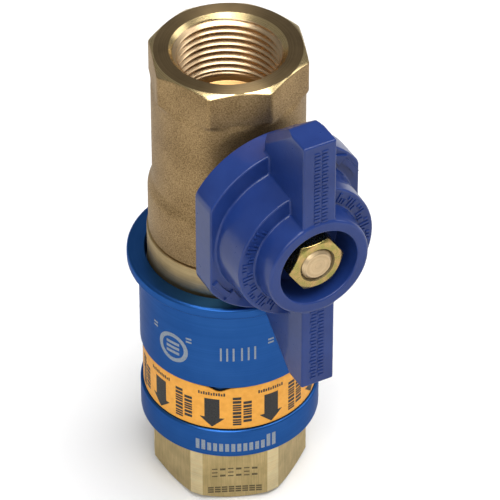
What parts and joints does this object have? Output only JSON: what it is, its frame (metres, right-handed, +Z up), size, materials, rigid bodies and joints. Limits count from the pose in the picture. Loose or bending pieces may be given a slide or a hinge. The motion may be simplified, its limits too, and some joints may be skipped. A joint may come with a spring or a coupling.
{
  "type": "gas quick-disconnect coupling with ball valve",
  "caption": "Brass gas coupling: ball valve with a blue wing handle above a ball-lock socket with a blue sliding sleeve, joined to a hexagonal outlet plug.",
  "frame": {"origin": "centre of the bounding box's base, on the outlet plug's bottom face; the vertical flow axis stands 9.7 mm behind it in Y", "axes": "+Z up along the flow axis from outlet to inlet, -Y out along the valve stem to the handle, +X to the handle's right"},
  "size_m": [0.0488, 0.0682, 0.1269],
  "materials": {
    "forged_brass": "sand-blasted forging",
    "turned_brass": "fine turned",
    "blue_handle_enamel": "glossy baked enamel on die-cast zinc",
    "blue_anodised_aluminium": "anodised satin",
    "orange_label": "printed film",
    "yellow_zinc_plate": "yellow passivated zinc plate on steel",
    "bright_steel": "polished",
    "spring_steel": "drawn wire and stamped strip",
    "white_seat_plastic": "moulded and skived",
    "black_seal_rubber": "moulded"
  },
  "bodies": {
    "valve": {"valve_body": "forged_brass", "inlet_seat": "white_seat_plastic", "outlet_seat": "white_seat_plastic", "body_oring": "black_seal_rubber", "stem_packing": "white_seat_plastic", "gland_ring": "turned_brass", "coupling_socket": "turned_brass", "sleeve_ring": "spring_steel", "plug_oring": "black_seal_rubber", "locking_ball_1": "bright_steel", "locking_ball_2": "bright_steel", "locking_ball_3": "bright_steel", "locking_ball_4": "bright_steel", "locking_ball_5": "bright_steel", "locking_ball_6": "bright_steel", "locking_ball_7": "bright_steel", "locking_ball_8": "bright_steel", "poppet": "turned_brass", "poppet_seal": "black_seal_rubber", "poppet_spring": "spring_steel", "poppet_guide": "turned_brass", "poppet_seat": "turned_brass", "poppet_snap_ring": "spring_steel"},
    "handle_set": {"handle": "blue_handle_enamel", "handle_nut": "yellow_zinc_plate", "lock_washer": "spring_steel", "stem": "turned_brass", "stem_washer": "white_seat_plastic", "stem_oring": "black_seal_rubber", "valve_ball": "turned_brass"},
    "sleeve_carrier": {"spring_washer": "bright_steel", "sleeve_spring": "spring_steel"},
    "sleeve": {"locking_sleeve": "blue_anodised_aluminium", "flow_label": "orange_label"},
    "plug": {"outlet_plug": "turned_brass"}
  },
  "joints": [
    {"name": "handle_turn", "type": "hinge", "parent": "valve", "child": "handle_set", "pos_m": [0, 0.0097, 0.09165], "axis": [0, 1, 0], "range_deg": [0, 90]},
    {"name": "sleeve_spin", "type": "hinge", "parent": "valve", "child": "sleeve_carrier", "pos_m": [0, 0.0097, 0.06245], "axis": [0, 0, 1], "continuous": true},
    {"name": "sleeve_lift", "type": "slide", "parent": "sleeve_carrier", "child": "sleeve", "axis": [0, 0, 1], "range_m": [0, 0.0021], "stiffness_N_per_m": 2500, "springref_m": -0.006, "deforming": ["sleeve_spring"]},
    {"name": "plug_swivel", "type": "hinge", "parent": "valve", "child": "plug", "pos_m": [0, 0.0097, 0.03115], "axis": [0, 0, 1], "continuous": true}
  ]
}
